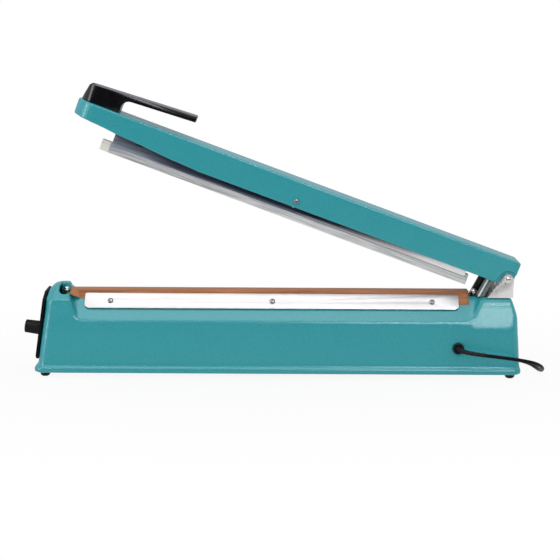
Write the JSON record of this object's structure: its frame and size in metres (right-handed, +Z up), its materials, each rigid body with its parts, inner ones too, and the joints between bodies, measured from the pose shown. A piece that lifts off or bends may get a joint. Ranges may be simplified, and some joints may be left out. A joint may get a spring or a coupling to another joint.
{
  "type": "bag sealer",
  "caption": "Hand impulse bag sealer with a lever arm, a sprung pressure bar over a cloth-covered bed, a timer knob on the end and a mains cord.",
  "frame": {"origin": "on the table below the middle of the sealer's box, cord left out", "axes": "+X along the base from the knob end to the hinge end, +Y to the back, +Z up"},
  "size_m": [0.5761, 0.1873, 0.3181],
  "materials": {
    "teal_paint": "glossy paint with a fine orange-peel texture",
    "panel_black": "black, fine matte",
    "knob_black": "black, ribbed",
    "handle_black": "black, satin",
    "black_plastic": "black",
    "plug_black": "black, with metal pins",
    "bakelite": "dark brown",
    "circuit_board": "green laminate",
    "lamp_red": "clear red",
    "zinc_steel": "bright zinc plating",
    "bar_steel": "drawn steel",
    "spring_steel": "spring steel",
    "sleeve_steel": "smooth tube",
    "plated_bar": "bright plated strip",
    "silicone": "pale grey silicone rubber",
    "coated_cloth": "brown coated glass cloth with a sheen",
    "heating_alloy": "flat heating ribbon",
    "brass": "turned",
    "core_steel": "stacked sheets",
    "copper": "enamelled copper winding",
    "lead_red": "red insulation",
    "lead_black": "black insulation",
    "rubber": "black rubber",
    "cord_black": "black cord sheath"
  },
  "bodies": {
    "base": {"base_housing": "teal_paint", "end_panel": "panel_black", "right_terminal_block": "black_plastic", "relay": "black_plastic", "microswitch": "black_plastic", "cord_tie": "black_plastic", "plug": "plug_black", "left_terminal_block": "bakelite", "insulating_strip": "bakelite", "timer_board": "circuit_board", "indicator_lamp": "lamp_red", "panel_screw_1": "zinc_steel", "panel_screw_2": "zinc_steel", "potentiometer": "zinc_steel", "front_clamp_screw_1": "zinc_steel", "front_clamp_screw_2": "zinc_steel", "front_clamp_screw_3": "zinc_steel", "rear_clamp_screw_1": "zinc_steel", "rear_clamp_screw_2": "zinc_steel", "rear_clamp_screw_3": "zinc_steel", "left_terminal_screw": "zinc_steel", "right_terminal_screw": "zinc_steel", "hinge_bracket": "zinc_steel", "bracket_screw_1": "zinc_steel", "bracket_screw_2": "zinc_steel", "hinge_pin": "zinc_steel", "switch_bracket": "zinc_steel", "bottom_cover": "zinc_steel", "transformer_strap": "zinc_steel", "lift_spring": "spring_steel", "spring_sleeve": "sleeve_steel", "front_clamp_bar": "plated_bar", "rear_clamp_bar": "plated_bar", "sealing_cloth": "coated_cloth", "heating_wire": "heating_alloy", "left_terminal_seat": "brass", "transformer_core": "core_steel", "transformer_winding": "copper", "heater_lead_left": "lead_red", "heater_lead_right": "lead_black", "foot_left_front": "rubber", "foot_left_rear": "rubber", "foot_right_front": "rubber", "foot_right_rear": "rubber", "cord_gland": "cord_black", "strain_relief": "cord_black", "power_cord_run": "cord_black", "power_cord_coil": "cord_black"},
    "arm": {"arm_housing": "teal_paint", "handle": "handle_black", "handle_screw_1": "zinc_steel", "handle_screw_2": "zinc_steel", "cross_pin": "zinc_steel", "bar_spring_near": "spring_steel", "bar_spring_far": "spring_steel"},
    "bar": {"pressure_bar": "bar_steel", "silicone_strip": "silicone"},
    "knob": {"timer_knob": "knob_black", "potentiometer_shaft": "zinc_steel"},
    "rod": {"switch_rod": "black_plastic"}
  },
  "joints": [
    {"name": "arm_hinge", "type": "hinge", "parent": "base", "child": "arm", "pos_m": [0.2589, 0, 0.1075], "axis": [0, -1, 0], "range_deg": [0, 20.2], "stiffness_Nm_per_rad": 4, "springref_deg": -57.3, "deforming": ["lift_spring"]},
    {"name": "bar_float", "type": "slide", "parent": "arm", "child": "bar", "axis": [0.3453, 0, 0.9385], "range_m": [0, 0.0085], "deforming": ["bar_spring_near", "bar_spring_far"]},
    {"name": "timer_knob_turn", "type": "hinge", "parent": "base", "child": "knob", "pos_m": [-0.25156, 0, 0.04658], "axis": [-0.991, 0, 0.134], "range_deg": [0, 270]},
    {"name": "switch_rod_press", "type": "slide", "parent": "base", "child": "rod", "axis": [-0.4664, 0, -0.8846], "range_m": [0, 0.004]}
  ],
  "couplings": [
    {"joint": "bar_float", "follows": "arm_hinge", "m_per_rad": 0.0241},
    {"joint": "switch_rod_press", "follows": "arm_hinge", "m_per_rad": 0.01134}
  ]
}
